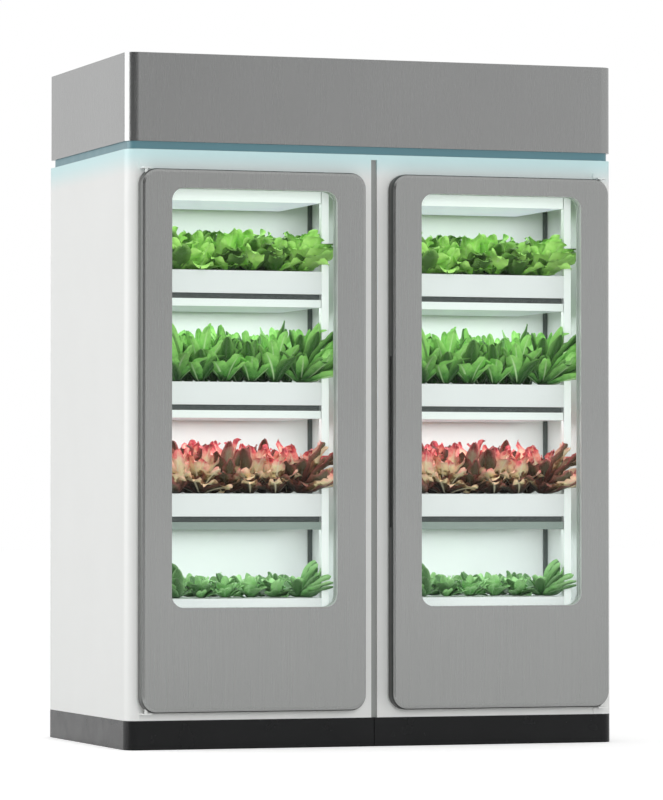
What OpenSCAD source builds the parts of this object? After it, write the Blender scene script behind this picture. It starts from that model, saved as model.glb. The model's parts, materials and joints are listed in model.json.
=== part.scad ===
// Hydroponic grow cabinet: two glazed bays under one header, four growing tiers in each bay.
// Millimetres, +Z up, the doors face -Y. The origin lies on the floor, below the middle of the whole cabinet.

/* [Cabinet] */
// Width over both bays
cabinet_w = 1500; // [1300:10:1800]
// Height from the floor to the top of the header
cabinet_h = 2000; // [1960:10:2200]
// Depth of the bays, without the doors
carcass_d = 820; // [780:10:950]
// Radius of the upright front corners
corner_r = 35; // [10:1:36]
// Width of the joint between the two bays
seam_w = 18; // [8:1:30]
// Thickness of side, floor and roof panels
panel_t = 24; // [18:1:32]
// Depth of the front frame
frame_t = 36; // [36:1:44]
// Thickness of the back panels
back_t = 12; // [8:1:18]

/* [Plinth] */
// Height of the plinths
plinth_h = 84; // [60:1:120]
// Wall thickness of the plinths
plinth_t = 18; // [12:1:24]
// Gap between the two plinths
plinth_gap = 2; // [1:0.5:6]

/* [Header and light strip] */
// Height of the header with its lid
header_h = 255; // [200:1:300]
// Sheet thickness of the header shell
header_t = 4; // [2:0.5:6]
// Thickness of the header lid
lid_t = 4; // [2:0.5:6]
// How far the header's back stands in from the bays' backs
header_inset = 6; // [6:1:20]
// Thickness of the deck over both bays
deck_t = 15; // [10:1:22]
// Height of the recessed light strip
light_h = 23; // [16:1:34]
// How far the light channel stands back from the cabinet's faces
light_setback = 14; // [10:1:24]
// Width of the light channel's profile
channel_w = 30; // [20:1:40]
// Thickness of the light lens
lens_t = 6; // [3:0.5:8]

/* [Doors] */
// Frame seen on each side of a door
door_reveal = 30.5; // [20:0.5:60]
// Thickness of a door
door_t = 40; // [36:1:50]
// Space between door and front frame, filled by the gasket
door_gap = 10; // [10:0.5:14]
// Radius of the door's corners
door_r = 46; // [36:1:60]
// Rounding of the door's front edges
door_edge = 10; // [4:1:12]
// Height of the door's lower edge above the plinth
door_foot = 23; // [18:1:40]
// Space between the door's upper edge and the deck
door_head = 43; // [40:1:60]
// How far a door laps over the front frame
door_lap = 30; // [28:1:36]
// Thickness of the door's back panel
door_back_t = 4; // [2:0.5:6]
// How far the back panel and the gasket stand in from the door's edge
door_back_inset = 10; // [6:1:16]
// Width of the gasket
gasket_w = 9; // [6:0.5:9]
// Door surface on each side of the window
window_stile = 90; // [75:1:140]
// Radius of the window's corners
window_r = 36; // [15:1:45]
// Door surface above the window
window_head = 55; // [46:1:80]
// Door surface below the window
window_foot = 300; // [240:5:340]
// Thickness of a glass pane
pane_t = 4; // [3:0.5:5]
// How far the panes reach behind the window's edge
pane_lap = 10; // [8:1:12]
// Depth of the glazing seal
seal_d = 22; // [18:1:24]
// Width of the glazing seal
seal_w = 14; // [13:1:16]
// Length of the finger pull in the door's free edge
pull_len = 500; // [200:10:700]
// Width of the finger pull
pull_w = 16; // [12:1:20]
// Depth of the finger pull
pull_d = 14; // [8:1:18]

/* [Hinges] */
// Distance of the hinge line from the door's edge
hinge_in = 20; // [18:1:22]
// Radius of the hinge pins
hinge_pin_r = 5; // [3:0.5:6]
// How deep a pin enters the door
hinge_pin_len = 24; // [16:1:30]
// Width of a hinge bracket
hinge_w = 26; // [20:1:30]
// Thickness of a hinge bracket
hinge_t = 4; // [3:0.5:6]
// Height of a bracket's leaf on the frame
hinge_leaf = 20; // [12:1:20]

/* [Growing chamber] */
// Height of the chamber floor's upper side
chamber_z = 349; // [340:1:360]
// Depth of the chamber behind the bays' fronts
chamber_d = 458; // [420:1:500]
// Thickness of the chamber's walls
liner_t = 4; // [2:0.5:6]
// Side of the square uprights
upright_w = 22; // [18:1:30]
// Distance from the front frame to the uprights
upright_back = 8; // [6:1:16]
// Height of the rails under trays and over lamps
rail_h = 16; // [12:1:24]
// How far a rail reaches under a tray
rail_lip = 12; // [8:1:16]

/* [Trays] */
// Width of a tray
tray_w = 462; // [360:2:480]
// Height of a tray
tray_h = 66; // [60:1:80]
// How far the trays stand out in front of the uprights
tray_nose = 5; // [2:1:6]
// Space between the trays and the chamber's back wall
tray_rear = 31; // [29:1:40]
// Rim thickness of a tray
tray_rim = 3; // [2:0.5:4]
// Wall thickness of a tray below the planting board
tray_wall = 6; // [5:0.5:8]
// Floor thickness of a tray
tray_floor = 3; // [2:0.5:5]
// Space between a tray and the uprights
tray_play = 2; // [1:0.5:4]
// How much lower the lowest tier is than the middle ones
nursery_less = 20; // [0:1:40]
// How much lower the highest tier is than the middle ones
top_less = 3; // [0:1:30]
// Thickness of a planting board
board_t = 8; // [5:0.5:10]
// Spacing of the cups along a board
cup_pitch_x = 76; // [56:1:90]
// Spacing of the rows of cups
cup_pitch_y = 115; // [70:1:150]
// Inner radius of a planting cup
cup_r = 19; // [14:0.5:22]
// Wall thickness of a planting cup
cup_wall = 2; // [1:0.5:3]
// Depth of a planting cup below the board
cup_d = 34; // [24:1:36]

/* [Lamps] */
// Height of the lamps between the tiers
lamp_h = 22; // [18:1:30]
// Height of the lamp under the ceiling
top_lamp_h = 38; // [24:1:50]
// Wall thickness of a lamp housing
lamp_wall = 3; // [1.5:0.5:4]
// Thickness of a lamp lens
lamp_lens_t = 4; // [2:0.5:5]
// Thickness of an LED board
led_t = 2; // [1:0.5:3]
// Margin between the LED board and the housing's walls
led_margin = 16; // [8:1:40]
// How far a lamp stands back from the tray's front
lamp_back = 6; // [2:1:20]

/* [Water] */
// Width of a tank
tank_w = 560; // [460:5:600]
// Depth of a tank
tank_d = 650; // [560:5:660]
// Height of a tank
tank_h = 192; // [170:1:196]
// Wall thickness of a tank
tank_t = 4; // [3:0.5:6]
// Thickness of a tank lid
tank_lid_t = 6; // [3:0.5:8]
// Distance of the filling neck from the tank's front
fill_in = 75; // [65:1:120]
// Inner radius of the filling neck
fill_r = 38; // [25:1:42]
// Wall thickness of the filling neck
fill_wall = 6; // [3:0.5:8]
// Height of the filling neck
fill_h = 12; // [10:1:14]
// Thickness of the filling cap
cap_t = 6; // [4:0.5:7]
// Height of the bar that turns the cap
cap_bar_h = 8; // [4:0.5:8]
// Width of the bar that turns the cap
cap_bar_w = 12; // [8:1:16]
// Radius of a pump body
pump_r = 48; // [44:1:60]
// Height of the pump's motor above the impeller
motor_h = 29; // [20:1:50]
// Wall thickness of a pump body
pump_wall = 6; // [4:0.5:9]
// Space around the impeller
impeller_gap = 8; // [4:0.5:12]
// Height of the impeller
impeller_h = 26; // [16:1:28]
// Vanes of the impeller
impeller_vanes = 6; // [4:1:8]
// Radius of the pump shaft
pump_shaft_r = 3; // [2:0.5:5]
// Distance of the supply and drain pipes from the bay's middle
pipe_x = 100; // [80:1:150]
// Distance of the upright pipes behind the chamber's back wall
pipe_back = 53; // [30:1:90]
// Outer radius of the supply riser
riser_r = 9; // [9:0.5:12]
// Outer radius of the drain stack
drain_r = 11; // [9:0.5:14]
// Outer radius of the branches to the trays
branch_r = 7; // [5:0.5:8]
// Wall thickness of the pipes
pipe_t = 2; // [1:0.5:2.5]
// How far a branch reaches into its tray
branch_in = 8; // [4:1:12]
// Depth of a supply branch below the tray's rim
supply_drop = 25; // [20:1:28]

/* [Fans and controls] */
// Outer width of a fan frame
fan_w = 140; // [110:2:170]
// Depth of a fan frame
fan_d = 38; // [30:1:50]
// Rim of the fan frame outside the air way
fan_rim = 6; // [3:0.5:12]
// Blades of a fan rotor
fan_blades = 7; // [5:1:9]
// Slope of the fan blades, in degrees
fan_pitch = 35; // [20:1:45]
// Radius of the fan rotor's hub
fan_hub_r = 23; // [18:1:26]
// Radius of the fan shaft
fan_shaft_r = 4; // [2:0.5:6]
// Distance of the fans behind the cabinet's middle
fan_y = 120; // [0:5:200]
// Radius of the holes in the fan grille
grille_r = 5; // [3:0.5:5.5]
// Spacing of the holes in the fan grille
grille_pitch = 14; // [13:0.5:20]
// Width of the control box
control_w = 320; // [200:5:400]
// Depth of the control box
control_d = 180; // [120:5:240]
// Height of the control box
control_h = 90; // [50:5:120]
// Width of the mains inlet's flange
inlet_w = 96; // [94:1:120]
// Height of the mains inlet's flange
inlet_h = 42; // [40:1:60]
// Depth of the mains inlet's body
inlet_d = 40; // [34:1:60]
// Thickness of the mains inlet's flange
inlet_flange = 4; // [2:0.5:5]
// Width of the rocker switch
rocker_w = 24; // [16:1:26]
// Height of the rocker switch
rocker_h = 18; // [12:1:22]
// Travel of the rocker switch, in degrees
rocker_turn = 14; // [8:1:20]

/* [Fasteners and vents] */
// Radius of the screw heads
screw_head_r = 4.5; // [3:0.5:6]
// Height of the screw heads
screw_head_h = 3; // [2:0.5:4]
// Radius of the screw shanks
screw_r = 2.5; // [1.5:0.5:3]
// Length of the screws inside the side panels
screw_len = 30; // [24:1:40]
// Screws along each edge of a back panel
screw_count = 6; // [3:1:10]
// Distance between the two wall fixing holes
tie_span = 760; // [760:10:900]
// Radius of the wall fixing holes
tie_r = 4.25; // [3:0.25:5]
// Depth of the wall fixing holes behind the back panel
tie_len = 30; // [20:1:60]
// Slots in each group of vents
vent_slots = 8; // [4:1:12]
// Length of a vent slot
vent_w = 360; // [200:10:450]
// Height of a vent slot
vent_h = 6; // [4:1:8]
// Spacing of the vent slots
vent_pitch = 16; // [12:1:24]

/* [Fits] */
// Clearance between pieces that are put together
fit = 0.3; // [0.2:0.05:0.5]
// Radial clearance of pins and shafts in their bores
running_fit = 0.05; // [0.02:0.01:0.1]
// Radial clearance of pipes and plugs in their holes
loose_fit = 0.5; // [0.3:0.1:0.9]

/* [Crops] */
// Space between a plant's root plug and its cup
plug_play = 1; // [0.5:0.1:2]
// Space between the foliage of neighbouring plants
foliage_gap = 4; // [2:0.5:16]
// Height of the seedlings above the planting board
seedling_h = 78; // [40:1:110]
// Height of the red lettuce above the planting board
red_lettuce_h = 158; // [100:1:165]
// Height of the romaine above the planting board
romaine_h = 162; // [100:1:170]
// Height of the leaf lettuce above the planting board
leaf_lettuce_h = 124; // [80:1:140]

/* [Hidden] */
$fn = 64;
eps = 1;
hull_fn = 48;

SIDES = ["left", "right"];

// Where a plant is widest, from low on its head (small) to halfway up (1)
seedling_fullness = 0.8;
red_lettuce_fullness = 0.7;
romaine_fullness = 0.6;
leaf_lettuce_fullness = 0.9;

white = "#e7e9e6";
grey = "#8d908d";
dark = "#2b2d2e";
pale = "#eef3f0";

// Places that several pieces share. The left bay is the one drawn, and the right bay is its mirror image.
total_d = carcass_d + door_gap + door_t;
door_y = -total_d / 2;
front_y = door_y + door_t + door_gap;
back_y = total_d / 2;
body_r = min(corner_r, frame_t);
bay_w = (cabinet_w - seam_w) / 2;
bay_x0 = -cabinet_w / 2;
bay_x1 = bay_x0 + bay_w;
bay_x = (bay_x0 + bay_x1) / 2;
bay_z0 = plinth_h;
bay_z1 = cabinet_h - header_h - light_h - deck_t;
inside_x0 = bay_x0 + panel_t;
inside_x1 = bay_x1 - panel_t;
inside_y0 = front_y + frame_t;
inside_y1 = back_y - back_t;
inside_z0 = bay_z0 + panel_t;
deck_z = bay_z1 + deck_t;
header_z = deck_z + light_h;
header_y1 = back_y - header_inset;
lid_z = cabinet_h - lid_t;

// Door, window and frame opening
door_x0 = bay_x0 + door_reveal;
door_x1 = bay_x1 - door_reveal;
door_z0 = bay_z0 + door_foot;
door_z1 = bay_z1 - door_head;
leaf_d = door_t - door_back_t;
door_rear = door_y + door_t;
window_x0 = door_x0 + window_stile;
window_x1 = door_x1 - window_stile;
window_z0 = door_z0 + window_foot;
window_z1 = door_z1 - window_head;
opening_r = max(door_r - door_lap, eps);
seal_y = door_y + leaf_d - seal_d;
hinge_x = door_x0 + hinge_in;
hinge_y = door_y + door_t / 2;
hinge_foot_z = door_z0 - fit;
hinge_head_z = door_z1 + fit;

// Growing chamber
chamber_y1 = front_y + chamber_d;
ceiling_z = door_z1 - door_lap;
upright_y = inside_y0 + upright_back;
rack_in = tray_w / 2 + tray_play;
tray_y0 = upright_y - tray_nose;
tray_y1 = chamber_y1 - tray_rear;
tray_d = tray_y1 - tray_y0;
tray_y = (tray_y0 + tray_y1) / 2;
nursery_z = chamber_z + rail_h;
tier_rise = (ceiling_z - nursery_z + nursery_less + top_less) / 4;
tray_z = concat(nursery_z, [for (tier = [1 : 3]) nursery_z - nursery_less + tier * tier_rise]);
lamp_top = [for (tier = [1 : 3]) tray_z[tier] - rail_h];
rail_tops = concat(tray_z, [ceiling_z]);
board_drop = board_t + eps;
cup_floor = -board_drop - cup_d;
cup_out_r = cup_r + cup_wall;
cups_x = floor((tray_w - 2 * tray_wall - 2 * cup_out_r) / cup_pitch_x) + 1;
cups_y = floor((tray_d - 2 * tray_wall - 2 * cup_out_r - 2 * branch_in) / cup_pitch_y) + 1;
plug_r = cup_r - plug_play;
foliage_r = (cup_pitch_x - foliage_gap) / 2;
cup_steps_x = [for (i = [0 : cups_x - 1]) (i - (cups_x - 1) / 2) * cup_pitch_x];
cup_steps_y = [for (j = [0 : cups_y - 1]) (j - (cups_y - 1) / 2) * cup_pitch_y];

// Water
tank_y0 = inside_y0 + upright_back + tray_nose;
tank_lid_z = inside_z0 + tank_h;
fill_y = tank_y0 + fill_in;
fill_top = tank_lid_z + tank_lid_t + fill_h;
pump_z = inside_z0 + tank_t;
pipe_y = chamber_y1 + liner_t + pipe_back;
branch_end = tray_y1 - tray_wall - branch_in;
drain_rise = tray_floor + branch_r + eps;
impeller_r = pump_r - pump_wall - impeller_gap;
impeller_z = pump_z + pump_wall + eps;
impeller_room_z = impeller_z + impeller_h + 2 * eps;
pump_top = impeller_room_z + motor_h;

// Fans, screws and controls
fan_x = bay_x;
fan_r = fan_w / 2 - fan_rim;
fan_z = lid_z - fan_d;
fan_strut = fan_d / 8;
fan_blade_t = fan_shaft_r / 2;
screw_zs = [for (i = [0 : screw_count - 1])
    bay_z0 + panel_t / 2 + i * (bay_z1 - bay_z0 - panel_t) / (screw_count - 1)];
screw_xs = [bay_x0 + panel_t / 2, bay_x1 - panel_t / 2];
inlet_x = -bay_x;
inlet_z = header_z + (lid_z - header_z) / 2;
socket_x = inlet_x - inlet_w / 4;
rocker_x = inlet_x + inlet_w / 4;
rocker_y = header_y1 + inlet_flange - rocker_w / 4;
rocker_pin_r = rocker_h / 9;

// Shapes that several pieces use

// The left bay's drawing, mirrored for the right bay
module on_side(side) {
    mirror([side == "right" ? 1 : 0, 0, 0]) children();
}

module on_both_sides() {
    for (side = SIDES) on_side(side) children();
}

module box(x0, x1, y0, y1, z0, z1) {
    translate([x0, y0, z0]) cube([x1 - x0, y1 - y0, z1 - z0]);
}

// Plan outline with rounded corners at the front, at the left end and, if asked, at the right end
module front_round(x0, x1, y0, y1, r, right_r) {
    intersection() {
        translate([x0, y0]) square([x1 - x0, y1 - y0]);
        union() {
            translate([x0, y0 + r]) square([x1 - x0, y1 - y0 - r]);
            translate([x0 + r, y0]) square([x1 - x0 - r - right_r, r]);
            translate([x0 + r, y0 + r]) circle(r);
            if (right_r > 0) translate([x1 - right_r, y0 + right_r]) circle(right_r);
        }
    }
}

// Plan outline of the whole cabinet, drawn in by an inset on every side
module cabinet_plan(inset, y1) {
    front_round(-cabinet_w / 2 + inset, cabinet_w / 2 - inset, front_y + inset, y1 - inset,
        max(body_r - inset, eps), max(body_r - inset, eps));
}

module round_rect(w, h, r) {
    translate([-w / 2, -h / 2 + r]) square([w, h - 2 * r]);
    translate([-w / 2 + r, -h / 2]) square([w - 2 * r, h]);
    for (x = [-1, 1], y = [-1, 1]) translate([x * (w / 2 - r), y * (h / 2 - r)]) circle(r);
}

// Upright plate with rounded corners between two depths
module upright_plate(x0, x1, z0, z1, r, y0, y1) {
    translate([(x0 + x1) / 2, y1, (z0 + z1) / 2])
        rotate([90, 0, 0])
            linear_extrude(y1 - y0) round_rect(x1 - x0, z1 - z0, r);
}

// Plate as large as the door, drawn in by an inset
module door_plate(inset, y0, y1) {
    upright_plate(door_x0 + inset, door_x1 - inset, door_z0 + inset, door_z1 - inset,
        max(door_r - inset, eps), y0, y1);
}

// Plate as large as the window, grown by a margin
module window_plate(margin, y0, y1) {
    upright_plate(window_x0 - margin, window_x1 + margin, window_z0 - margin, window_z1 + margin,
        window_r + margin, y0, y1);
}

module rod(x, y, z0, z1, r) {
    translate([x, y, z0]) cylinder(h = z1 - z0, r = r);
}

// Round bar along Y
module cross_rod(x, z, y0, y1, r) {
    translate([x, y1, z]) rotate([90, 0, 0]) cylinder(h = y1 - y0, r = r);
}

// Plinth, bays and the strips between them

module plinth() {
    color(dark) linear_extrude(plinth_h) difference() {
        front_round(bay_x0, -plinth_gap / 2, front_y, back_y, body_r, 0);
        front_round(bay_x0 + plinth_t, -plinth_gap / 2 - plinth_t, front_y + plinth_t, back_y - plinth_t,
            max(body_r - plinth_t, eps), 0);
    }
}

module front_frame() {
    color(white) difference() {
        translate([0, 0, bay_z0]) linear_extrude(bay_z1 - bay_z0)
            front_round(bay_x0, bay_x1, front_y, inside_y0, body_r, 0);
        upright_plate(door_x0 + door_lap, door_x1 - door_lap, door_z0 + door_lap, door_z1 - door_lap,
            opening_r, front_y - eps, inside_y0 + eps);
    }
}

module side_panel(x0, screw_x) {
    color(white) difference() {
        box(x0, x0 + panel_t, inside_y0, inside_y1, bay_z0, bay_z1);
        for (z = screw_zs)
            cross_rod(screw_x, z, inside_y1 - screw_len, inside_y1 + eps, screw_r + running_fit);
    }
}

module outer_side_panel() {
    side_panel(bay_x0, screw_xs[0]);
}

module inner_side_panel() {
    side_panel(inside_x1, screw_xs[1]);
}

module bay_floor() {
    color(white) box(inside_x0, inside_x1, inside_y0, inside_y1, bay_z0, inside_z0);
}

module bay_roof() {
    color(white) difference() {
        box(inside_x0, inside_x1, inside_y0, inside_y1, bay_z1 - panel_t, bay_z1);
        cross_rod(-tie_span / 2, bay_z1 - panel_t / 2, inside_y1 - tie_len, inside_y1 + eps, tie_r);
    }
}

module vents(z) {
    for (i = [0 : vent_slots - 1])
        box(bay_x - vent_w / 2, bay_x + vent_w / 2, inside_y1 - eps, back_y + eps,
            z + i * vent_pitch, z + i * vent_pitch + vent_h);
}

module back_panel() {
    vents_h = vent_slots * vent_pitch;
    color(white) difference() {
        box(bay_x0, bay_x1, inside_y1, back_y, bay_z0, bay_z1);
        vents(inside_z0 + 2 * vents_h);
        vents(bay_z1 - panel_t - 2 * vents_h);
        cross_rod(-tie_span / 2, bay_z1 - panel_t / 2, inside_y1 - eps, back_y + eps, tie_r);
        for (x = screw_xs, z = screw_zs) {
            cross_rod(x, z, inside_y1 - eps, back_y + eps, screw_r + running_fit);
            cross_rod(x, z, back_y - screw_head_h - fit, back_y + eps, screw_head_r + fit);
        }
    }
}

module panel_screw(x, z) {
    head_y0 = back_y - screw_head_h - fit;
    color("silver") {
        cross_rod(x, z, head_y0, back_y - fit, screw_head_r);
        cross_rod(x, z, back_y - back_t - screw_len + fit, head_y0, screw_r);
    }
}

// Strips that cover the joint between the bays, at the front and at the back
module seam_strips() {
    color(grey) {
        box(-seam_w / 2, seam_w / 2, front_y + seam_w / 2, inside_y0, bay_z0, bay_z1);
        box(-seam_w / 2, seam_w / 2, inside_y1 - panel_t, back_y - back_t / 2, bay_z0, bay_z1);
    }
}

// Deck, light strip and header

module top_deck() {
    color(white) translate([0, 0, bay_z1]) linear_extrude(deck_t) cabinet_plan(0, back_y);
}

module light_channel() {
    color("silver") translate([0, 0, deck_z]) linear_extrude(light_h) difference() {
        cabinet_plan(light_setback, header_y1);
        cabinet_plan(light_setback + channel_w, header_y1);
    }
}

// The lens runs along the front and both sides
module light_lens() {
    color("#1f6f74") translate([0, 0, deck_z + fit]) linear_extrude(light_h - 2 * fit) difference() {
        cabinet_plan(light_setback - lens_t, header_y1);
        cabinet_plan(light_setback, header_y1);
        translate([-cabinet_w / 2, header_y1 - light_setback - eps])
            square([cabinet_w, light_setback + eps]);
    }
}

// The shell's lower edge turns in and stands on the light channel
module header_shell() {
    color(grey) difference() {
        translate([0, 0, header_z]) linear_extrude(lid_z - header_z) cabinet_plan(0, header_y1);
        translate([0, 0, header_z + header_t]) linear_extrude(lid_z - header_z)
            cabinet_plan(header_t, header_y1);
        translate([0, 0, header_z - eps]) linear_extrude(header_t + 2 * eps)
            cabinet_plan(light_setback + channel_w, header_y1);
        box(inlet_x - inlet_w / 2 + 2 * header_t, inlet_x + inlet_w / 2 - 2 * header_t,
            header_y1 - header_t - eps, header_y1 + eps,
            inlet_z - inlet_h / 2 + header_t, inlet_z + inlet_h / 2 - header_t);
    }
}

// Holes on a hexagonal grid within the fan's air way
module fan_grille() {
    rows = floor(fan_r / grille_pitch);
    for (row = [-rows : rows], col = [-rows : rows]) {
        x = (col + row / 2) * grille_pitch;
        y = row * grille_pitch * sin(60);
        if (norm([x, y]) < fan_r - 2 * grille_r)
            rod(fan_x + x, fan_y + y, lid_z - eps, cabinet_h + eps, grille_r);
    }
}

module header_lid() {
    color(grey) difference() {
        translate([0, 0, lid_z]) linear_extrude(lid_t) cabinet_plan(0, header_y1);
        on_both_sides() fan_grille();
    }
}

module control_box() {
    color(pale) box(bay_x / 2 - control_w / 2, bay_x / 2 + control_w / 2, -control_d / 2, control_d / 2,
        deck_z, deck_z + control_h);
}

// Growing chamber

module chamber_back_wall() {
    color(pale) difference() {
        box(inside_x0 + liner_t, inside_x1 - liner_t, chamber_y1, chamber_y1 + liner_t, chamber_z, ceiling_z);
        for (z = tray_z) {
            branch_holes(z, chamber_y1, chamber_y1 + liner_t);
        }
    }
}

// Holes for the supply and drain branches of the tray that stands at height z
module branch_holes(z, y0, y1) {
    cross_rod(bay_x + pipe_x, z + tray_h - supply_drop, y0 - eps, y1 + eps, branch_r + loose_fit);
    cross_rod(bay_x - pipe_x, z + drain_rise, y0 - eps, y1 + eps, branch_r + loose_fit);
}

module chamber_side_walls() {
    color(pale) for (x = [inside_x0, inside_x1 - liner_t])
        box(x, x + liner_t, inside_y0, chamber_y1 + liner_t, chamber_z, ceiling_z);
}

module chamber_ceiling() {
    color(pale) box(inside_x0, inside_x1, inside_y0, chamber_y1 + liner_t, ceiling_z, ceiling_z + liner_t);
}

module chamber_floor() {
    color(pale) box(inside_x0, inside_x1, inside_y0, chamber_y1 + liner_t, chamber_z - liner_t, chamber_z);
}

module rack_uprights() {
    xs = [bay_x - rack_in - upright_w, bay_x + rack_in];
    ys = [upright_y, chamber_y1 + liner_t];
    color(white) for (x = xs, y = ys) box(x, x + upright_w, y, y + upright_w, chamber_z, ceiling_z);
}

module rack_rails() {
    inner = tray_w / 2 - rail_lip;
    outer = rack_in + upright_w;
    color(white) for (z = rail_tops, x = [bay_x - outer, bay_x + inner])
        box(x, x + outer - inner, upright_y + upright_w, chamber_y1, z - rail_h, z);
}

module tray(z) {
    x0 = bay_x - tray_w / 2;
    x1 = bay_x + tray_w / 2;
    top = z + tray_h;
    color(white) difference() {
        box(x0, x1, tray_y0, tray_y1, z, top);
        box(x0 + tray_wall, x1 - tray_wall, tray_y0 + tray_wall, tray_y1 - tray_wall,
            z + tray_floor, top + eps);
        box(x0 + tray_rim, x1 - tray_rim, tray_y0 + tray_rim, tray_y1 - tray_rim,
            top - board_drop, top + eps);
        branch_holes(z, tray_y1 - tray_wall, tray_y1);
    }
}

// Places of the planting cups, on the rim of the tray that stands at height z
module at_cups(z) {
    for (x = cup_steps_x, y = cup_steps_y) translate([bay_x + x, tray_y + y, z + tray_h]) children();
}

module planting_board(z) {
    margin = tray_rim + fit;
    top = z + tray_h;
    color(pale) difference() {
        union() {
            box(bay_x - tray_w / 2 + margin, bay_x + tray_w / 2 - margin, tray_y0 + margin, tray_y1 - margin,
                top - board_drop, top - board_drop + board_t);
            at_cups(z) translate([0, 0, cup_floor]) cylinder(h = cup_d + board_t / 2, r = cup_out_r);
        }
        at_cups(z) translate([0, 0, cup_floor + cup_wall]) cylinder(h = cup_d + board_t + eps, r = cup_r);
    }
}

// Half outline of one plant: the root plug, the neck and the swelling head of leaves
module plant(h, fullness) {
    plug_z = cup_floor + cup_wall;
    neck = plug_r / 2;
    steps = 8;
    head = [for (i = [0 : steps]) let (t = i / steps, stalk = neck * (1 - t))
        [stalk + (foliage_r - stalk) * sin(180 * pow(t, fullness)), neck + (h - neck) * t]];
    rotate_extrude() polygon(concat(
        [[0, plug_z], [plug_r, plug_z], [plug_r, -board_drop + board_t / 2], [neck, 0]],
        head,
        [[0, h]]));
}

module crop(tier, h, fullness, tint) {
    color(tint) on_both_sides() at_cups(tray_z[tier]) plant(h, fullness);
}

// Lamps

module lamp(top, h) {
    lamp_y0 = tray_y0 + lamp_back;
    color(white) difference() {
        box(bay_x - tray_w / 2, bay_x + tray_w / 2, lamp_y0, tray_y1, top - h, top);
        box(bay_x - tray_w / 2 + lamp_wall, bay_x + tray_w / 2 - lamp_wall,
            lamp_y0 + lamp_wall, tray_y1 - lamp_wall, top - h - eps, top - lamp_wall);
    }
}

module lamp_lens(top, h) {
    margin = lamp_wall + fit;
    color("#f4fffb") box(bay_x - tray_w / 2 + margin, bay_x + tray_w / 2 - margin,
        tray_y0 + lamp_back + margin, tray_y1 - margin, top - h, top - h + lamp_lens_t);
}

module led_board(top) {
    margin = lamp_wall + led_margin;
    color("#d9e6d2") box(bay_x - tray_w / 2 + margin, bay_x + tray_w / 2 - margin,
        tray_y0 + lamp_back + margin, tray_y1 - margin, top - lamp_wall - led_t, top - lamp_wall);
}

// Water

module tank() {
    x0 = bay_x - tank_w / 2;
    x1 = bay_x + tank_w / 2;
    color("#d5dadb") difference() {
        box(x0, x1, tank_y0, tank_y0 + tank_d, inside_z0, tank_lid_z);
        box(x0 + tank_t, x1 - tank_t, tank_y0 + tank_t, tank_y0 + tank_d - tank_t, inside_z0 + tank_t,
            tank_lid_z + eps);
    }
}

module tank_lid() {
    z1 = tank_lid_z + tank_lid_t;
    color("#b9bfc0") difference() {
        union() {
            box(bay_x - tank_w / 2, bay_x + tank_w / 2, tank_y0, tank_y0 + tank_d, tank_lid_z, z1);
            rod(bay_x, fill_y, z1 - eps, fill_top, fill_r + fill_wall);
        }
        rod(bay_x, fill_y, tank_lid_z - eps, fill_top + eps, fill_r);
        rod(bay_x + pipe_x, pipe_y, tank_lid_z - eps, z1 + eps, riser_r + loose_fit);
        rod(bay_x - pipe_x, pipe_y, tank_lid_z - eps, z1 + eps, drain_r + loose_fit);
    }
}

module fill_cap() {
    skirt_r = fill_r + fill_wall + fit;
    skirt_z = fill_top - fill_h + 2 * fit;
    cap_z = fill_top + fit;
    color(dark) difference() {
        union() {
            rod(bay_x, fill_y, skirt_z, cap_z + cap_t, skirt_r + fill_wall);
            box(bay_x - fill_r, bay_x + fill_r, fill_y - cap_bar_w / 2, fill_y + cap_bar_w / 2,
                cap_z + cap_t - eps, cap_z + cap_t + cap_bar_h);
        }
        rod(bay_x, fill_y, skirt_z - eps, cap_z, skirt_r);
    }
}

module pump_body() {
    x = bay_x + pipe_x;
    intake_w = impeller_r / 3;
    intake_z1 = impeller_z + impeller_h / 2;
    color(dark) {
        difference() {
            rod(x, pipe_y, pump_z, pump_top, pump_r);
            rod(x, pipe_y, pump_z + pump_wall, impeller_room_z, pump_r - pump_wall);
            for (i = [0 : 3]) translate([x, pipe_y, 0]) rotate([0, 0, 45 * i])
                box(-pump_r - eps, pump_r + eps, -intake_w / 2, intake_w / 2, impeller_z, intake_z1);
        }
        rod(x, pipe_y, pump_z + pump_wall - eps, impeller_room_z + eps, pump_shaft_r);
    }
}

module impeller() {
    hub_r = 3 * pump_shaft_r;
    disc_h = impeller_h / 8;
    color("#c9d3d6") translate([bay_x + pipe_x, pipe_y, impeller_z]) difference() {
        union() {
            cylinder(h = impeller_h, r = hub_r);
            cylinder(h = disc_h, r = impeller_r);
            for (i = [0 : impeller_vanes - 1]) rotate([0, 0, i * 360 / impeller_vanes])
                translate([0, -disc_h / 2, 0]) cube([impeller_r - eps, disc_h, impeller_h - eps]);
        }
        translate([0, 0, -eps]) cylinder(h = impeller_h + 2 * eps, r = pump_shaft_r + running_fit);
    }
}

// Bore of an upright pipe that is open below and closed above
module pipe_bore(x, z0, z1, r) {
    rod(x, pipe_y, z0 - eps, z1 - pipe_t, r - pipe_t);
}

module supply_pipe() {
    x = bay_x + pipe_x;
    z1 = tray_z[3] + tray_h - supply_drop + 2 * riser_r;
    color("#c8cdce") difference() {
        union() {
            rod(x, pipe_y, pump_top, z1, riser_r);
            for (z = tray_z) cross_rod(x, z + tray_h - supply_drop, branch_end, pipe_y, branch_r);
        }
        pipe_bore(x, pump_top, z1, riser_r);
        for (z = tray_z) cross_rod(x, z + tray_h - supply_drop, branch_end - eps, pipe_y, branch_r - pipe_t);
    }
}

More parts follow.
